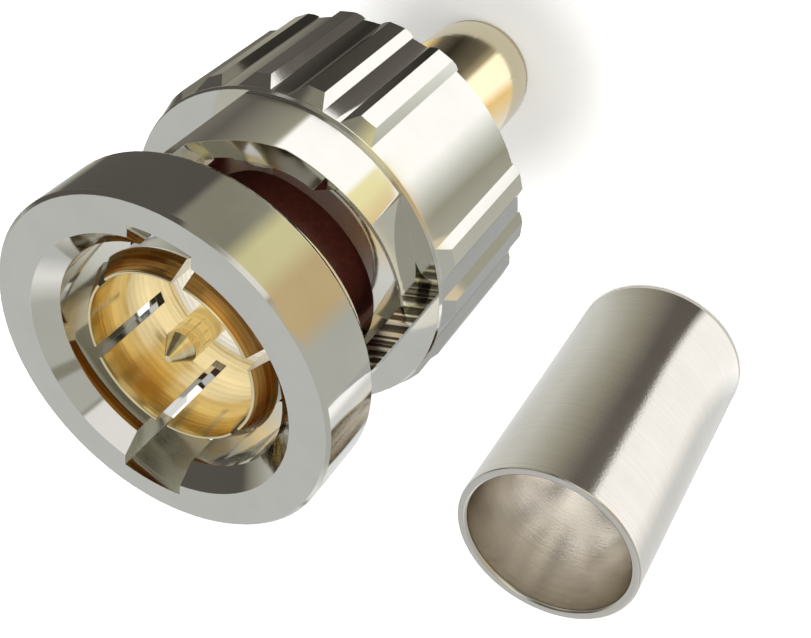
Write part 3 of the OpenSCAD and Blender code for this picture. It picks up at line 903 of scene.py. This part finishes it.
class DressBody(bpy.types.Operator):
    """Gives the body and its crimp barrel their thin gold finish."""

    bl_idname = "plug.dress_body"
    bl_label = "Body and crimp barrel"

    def execute(self, context):
        # Thin gold over nickel, turned: pale and glossy
        gold = turned_metal(
            "thin_gold_turned", context.scene.plug_colours.pale_gold, roughness=0.12, spread=0.03,
            pitch_mm=0.3, ridge_mm=0.003,
        )
        piece = machined_copy("plug_body", "body_gold", gold)
        place(piece, "plug", "gold_plate", "plug_body")
        return {"FINISHED"}


class DressSpringStack(bpy.types.Operator):
    """Gives the spring, its washer and the retaining ring their finishes."""

    bl_idname = "plug.dress_spring_stack"
    bl_label = "Spring stack"

    def execute(self, context):
        colours = context.scene.plug_colours
        # Hardened spring strip: grey and a little rough
        steel = turned_metal("spring_steel_strip", colours.steel, roughness=0.3, spread=0.05, pitch_mm=0.2)
        # Rolled bronze washer: brown yellow, satin
        bronze = turned_metal("bronze_rolled", colours.bronze, roughness=0.32, spread=0.05, pitch_mm=0.2)
        for node, material in (("retaining_ring", steel), ("thrust_washer", bronze)):
            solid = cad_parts[node]
            solid.data.materials.clear()
            solid.data.materials.append(material)
        spring = machined_copy("wave_spring", "wave_spring_steel", steel)
        place(spring, "plug", "spring_steel", "wave_spring")
        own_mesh(spring)
        return {"FINISHED"}


class DressFerrule(bpy.types.Operator):
    """Builds the loose crimp ferrule with its rolled edges."""

    bl_idname = "plug.dress_ferrule"
    bl_label = "Crimp ferrule"

    def execute(self, context):
        wall = 0.5 * MM
        rim = 0.12 * MM
        bore_rim = 0.2 * MM
        outer = FERRULE_DIAMETER / 2
        inner = outer - wall
        outline = []
        for end, height in ((-1, 0.0), (1, FERRULE_LENGTH)):
            turn = (
                arc((inner + bore_rim, height - end * bore_rim), bore_rim, 180, 180 - end * 90, 6)
                + arc((outer - rim, height - end * rim), rim, end * 90, 0, 6)
            )
            outline += turn if end < 0 else turn[::-1]
        # Nickel plate over drawn copper tube: satin, with a grainy gloss
        satin = turned_metal(
            "satin_nickel_drawn", context.scene.plug_colours.satin, roughness=0.17, spread=0.03,
            pitch_mm=0.14, ridge_mm=0.002, ring_shade=0.05, grain_mm=0.13, centre=FERRULE_AXIS,
        )
        tube = turned_mesh("ferrule_satin", outline, segments=192, centre=FERRULE_AXIS)
        piece = shown("ferrule_satin", tube, satin)
        place(piece, "plug", "satin_nickel", "crimp_ferrule")
        return {"FINISHED"}


def tones_about(tree, vector, tones):
    """Card tones by direction about the z axis, run smoothly from one to the next."""
    parts = add(tree, "ShaderNodeSeparateXYZ", {"Vector": vector})
    angle = add(tree, "ShaderNodeMath", {0: parts.outputs["Y"], 1: parts.outputs["X"]}, operation="ARCTAN2")
    turn = add(
        tree, "ShaderNodeMapRange",
        {"Value": angle.outputs["Value"], "From Min": -math.pi, "From Max": math.pi},
    )
    ramp = add(tree, "ShaderNodeValToRGB", {"Fac": turn.outputs["Result"]})
    fill_ramp(ramp, [((degrees + 180) / 360, code) for degrees, code in tones])
    return ramp.outputs["Color"]


def ring_card(name, tones, outline, strength, centre=(0, 0)):
    """A card bent round an axis, from (radius, height) points in millimetres, that shows only in gloss."""
    points = [
        (centre[0] + r * MM * math.cos(a), centre[1] + r * MM * math.sin(a), z * MM)
        for a in np.linspace(0, 2 * math.pi, CARD_SEGMENTS, endpoint=False) for r, z in outline
    ]
    count, wide = len(points), len(outline)
    faces = [
        (i + k, i + k + 1, (i + k + 1 + wide) % count, (i + k + wide) % count)
        for i in range(0, count, wide) for k in range(wide - 1)
    ]
    mesh = bpy.data.meshes.new(name)
    mesh.from_pydata(points, [], faces)
    material = bpy.data.materials.new(name)
    material.use_nodes = True
    tree = material.node_tree
    tree.nodes.clear()
    centred = centred_position(tree, centre)
    light = add(
        tree, "ShaderNodeEmission",
        {"Color": tones_about(tree, centred.outputs["Vector"], tones), "Strength": strength},
    )
    add(tree, "ShaderNodeOutputMaterial", {"Surface": light.outputs["Emission"]})
    piece = shown(name, mesh, material)
    piece.visible_camera = False
    piece.visible_diffuse = False
    piece.visible_shadow = False
    piece.visible_transmission = False


def soft_lamp(name, place_at, size, power):
    """A square softbox that looks at the middle of the object and leaves no glint of its own."""
    data = bpy.data.lights.new(name, "AREA")
    data.shape = "SQUARE"
    data.size = size
    data.energy = power
    lamp = bpy.data.objects.new(name, data)
    bpy.context.scene.collection.objects.link(lamp)
    lamp.location = place_at
    lamp.rotation_euler = (Vector(LAMP_AIM) - Vector(place_at)).to_track_quat("-Z", "Y").to_euler()
    lamp.visible_glossy = False


class BuildStage(bpy.types.Operator):
    """Lays the floor, hangs the lamps and cards, and sets the camera where the photograph was taken."""

    bl_idname = "plug.build_stage"
    bl_label = "Studio and camera"

    def execute(self, context):
        scene = context.scene
        self.lay_floor(scene.plug_colours.floor)
        self.light(scene)
        self.hang_cards()
        data = bpy.data.cameras.new("camera")
        data.lens = CAMERA_LENS
        data.sensor_width = CAMERA_SENSOR
        data.clip_start = 1 * MM
        data.clip_end = 10
        camera = bpy.data.objects.new("camera", data)
        scene.collection.objects.link(camera)
        turn = Matrix((CAMERA_RIGHT, -CAMERA_DOWN, CAMERA_RIGHT.cross(-CAMERA_DOWN))).transposed()
        camera.matrix_world = Matrix.Translation(CAMERA_PLACE) @ turn.to_4x4()
        scene.camera = camera
        scene.view_settings.view_transform = "Standard"
        return {"FINISHED"}

    def lay_floor(self, colour):
        """A pale matt floor that keeps the object's shadow."""
        reach = FLOOR_REACH
        corners = [(-reach, -reach, 0), (reach, -reach, 0), (reach, reach, 0), (-reach, reach, 0)]
        mesh = bpy.data.meshes.new("floor")
        mesh.from_pydata(corners, [], [(0, 1, 2, 3)])
        material, tree, shader = fresh_material("floor_matt_card")
        shader.inputs["Base Color"].default_value = colour
        shader.inputs["Roughness"].default_value = 0.9
        shader.inputs["Specular IOR Level"].default_value = 0.1
        shader.inputs["Emission Color"].default_value = (1, 1, 1, 1)
        # For the camera alone it runs to plain white away from the object
        path = add(tree, "ShaderNodeLightPath")
        coordinates = add(tree, "ShaderNodeTexCoord")
        away = add(tree, "ShaderNodeVectorMath", {0: coordinates.outputs["Object"]}, operation="LENGTH")
        whiter = add(
            tree, "ShaderNodeMapRange",
            {
                "Value": away.outputs["Value"], "From Min": FLOOR_NEAR, "From Max": FLOOR_FAR,
                "To Min": FLOOR_NEAR_LIGHT, "To Max": 1.0,
            },
        )
        lift = add(
            tree, "ShaderNodeMath", {0: path.outputs["Is Camera Ray"], 1: whiter.outputs["Result"]},
            operation="MULTIPLY",
        )
        tree.links.new(lift.outputs["Value"], shader.inputs["Emission Strength"])
        shown("floor", mesh, material)

    def light(self, scene):
        """Three softboxes, and a world that is white where it is seen and has card tones in the gloss."""
        world = bpy.data.worlds.new("studio")
        scene.world = world
        world.use_nodes = True
        tree = world.node_tree
        tree.nodes.clear()
        path = add(tree, "ShaderNodeLightPath")
        direction = add(tree, "ShaderNodeTexCoord")
        level = add(tree, "ShaderNodeSeparateXYZ", {"Vector": direction.outputs["Generated"]})
        high = add(
            tree, "ShaderNodeMapRange",
            {"Value": level.outputs["Z"], "From Min": HIGH_START, "From Max": HIGH_FULL},
        )
        around = tones_about(tree, direction.outputs["Generated"], ROOM_TONES)
        above = tones_about(tree, direction.outputs["Generated"], HIGH_TONES)
        room = add(
            tree, "ShaderNodeMix", {"Factor": high.outputs["Result"], "A": around, "B": above},
            data_type="RGBA",
        )
        seen = add(
            tree, "ShaderNodeMath",
            {0: path.outputs["Is Camera Ray"], 1: path.outputs["Is Glossy Ray"]}, operation="MAXIMUM",
        )
        strength = add(
            tree, "ShaderNodeMapRange", {"Value": seen.outputs["Value"], "To Min": MATT_SHARE, "To Max": 1.0}
        )
        tint = add(
            tree, "ShaderNodeMix",
            {"Factor": path.outputs["Is Glossy Ray"], "A": (1, 1, 1, 1), "B": room.outputs["Result"]},
            data_type="RGBA",
        )
        background = add(
            tree, "ShaderNodeBackground",
            {"Color": tint.outputs["Result"], "Strength": strength.outputs["Result"]},
        )
        add(tree, "ShaderNodeOutputWorld", {"Surface": background.outputs["Background"]})
        for name, place_at, size, power in LAMPS:
            soft_lamp(name, place_at, size, power)
        scene.cycles.glossy_bounces = 12

    def hang_cards(self):
        """Cards about the plug, in the gap inside its nut and about the ferrule, which tone the metal."""
        for name, tones, outline, strength in PLUG_CARDS:
            ring_card(name, tones, outline, strength)
        for name, tones, outline, strength in FERRULE_CARDS:
            ring_card(name, tones, outline, strength, centre=FERRULE_AXIS)


class PlugPanel(bpy.types.Panel):
    """Lists the pieces, their sizes and their colours."""

    bl_idname = "VIEW3D_PT_plug"
    bl_label = "Coaxial plug"
    bl_space_type = "VIEW_3D"
    bl_region_type = "UI"
    bl_category = "Plug"

    def draw(self, context):
        for operator in OPERATORS:
            self.layout.operator(operator.bl_idname)
        for group in (context.scene.plug_sizes, context.scene.plug_colours):
            for name in group.__annotations__:
                self.layout.prop(group, name)


OPERATORS = (
    DressNut, DressContacts, DressInsulators, DressSeal, DressBody, DressSpringStack, DressFerrule,
    BuildStage,
)
CLASSES = (PlugSizes, PlugColours, *OPERATORS, PlugPanel)


def register():
    """Registers the classes and the scene's settings."""
    for item in CLASSES:
        bpy.utils.register_class(item)
    bpy.types.Scene.plug_sizes = bpy.props.PointerProperty(type=PlugSizes)
    bpy.types.Scene.plug_colours = bpy.props.PointerProperty(type=PlugColours)


def unregister():
    """Takes the settings and the classes away again."""
    del bpy.types.Scene.plug_colours
    del bpy.types.Scene.plug_sizes
    for item in reversed(CLASSES):
        bpy.utils.unregister_class(item)


def main():
    """Builds everything in order."""
    register()
    bpy.ops.plug.dress_nut()
    bpy.ops.plug.dress_contacts()
    bpy.ops.plug.dress_insulators()
    bpy.ops.plug.dress_seal()
    bpy.ops.plug.dress_body()
    bpy.ops.plug.dress_spring_stack()
    bpy.ops.plug.dress_ferrule()
    bpy.ops.plug.build_stage()


if __name__ == "__main__":
    main()
